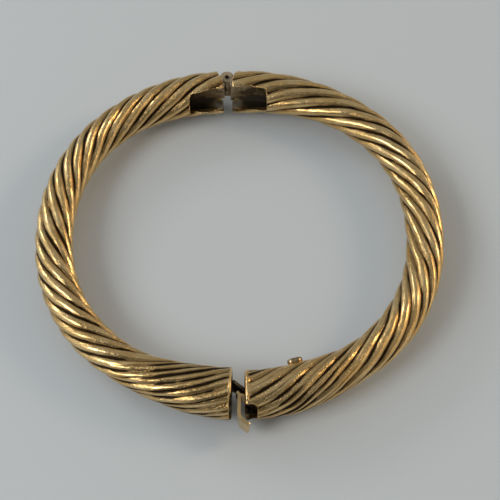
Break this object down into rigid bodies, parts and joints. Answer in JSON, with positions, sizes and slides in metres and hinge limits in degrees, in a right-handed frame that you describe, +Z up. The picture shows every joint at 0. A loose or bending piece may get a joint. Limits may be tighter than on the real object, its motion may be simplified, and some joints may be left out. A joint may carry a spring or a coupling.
{
  "type": "hinged bangle",
  "caption": "Rigid bracelet of two hollow half rings with twisted ribs, hinged at the back and closed in front by a folded spring tongue with a thumb lever.",
  "frame": {"origin": "on the surface the bangle lies on, below the middle of its box", "axes": "+Z up through the wrist opening, +Y from the clasp towards the hinge, +X towards the half without the lever"},
  "size_m": [0.0694, 0.0681, 0.0088],
  "materials": {
    "gold_plate": "polished gold plate, tarnished dark in the grooves",
    "tarnished_plate": "dull tarnished plate"
  },
  "bodies": {
    "left": {"left_half": "gold_plate", "left_hinge_leaf": "tarnished_plate", "tongue": "tarnished_plate"},
    "right": {"right_half": "gold_plate", "right_hinge_leaf": "tarnished_plate", "hinge_pin": "tarnished_plate", "catch_plate": "tarnished_plate", "oval_plate": "gold_plate"},
    "lever": {"thumb_lever": "gold_plate"}
  },
  "joints": [
    {"name": "bangle_hinge", "type": "hinge", "parent": "left", "child": "right", "pos_m": [-0.00249, 0.0318, 0.00445], "axis": [0, 0, 1], "range_deg": [-1.8, 55]},
    {"name": "lever_press", "type": "hinge", "parent": "left", "child": "lever", "pos_m": [0.00535, -0.02847, 0.00445], "axis": [0, 0, -1], "range_deg": [0, 3.5], "stiffness_Nm_per_rad": 0.08}
  ]
}
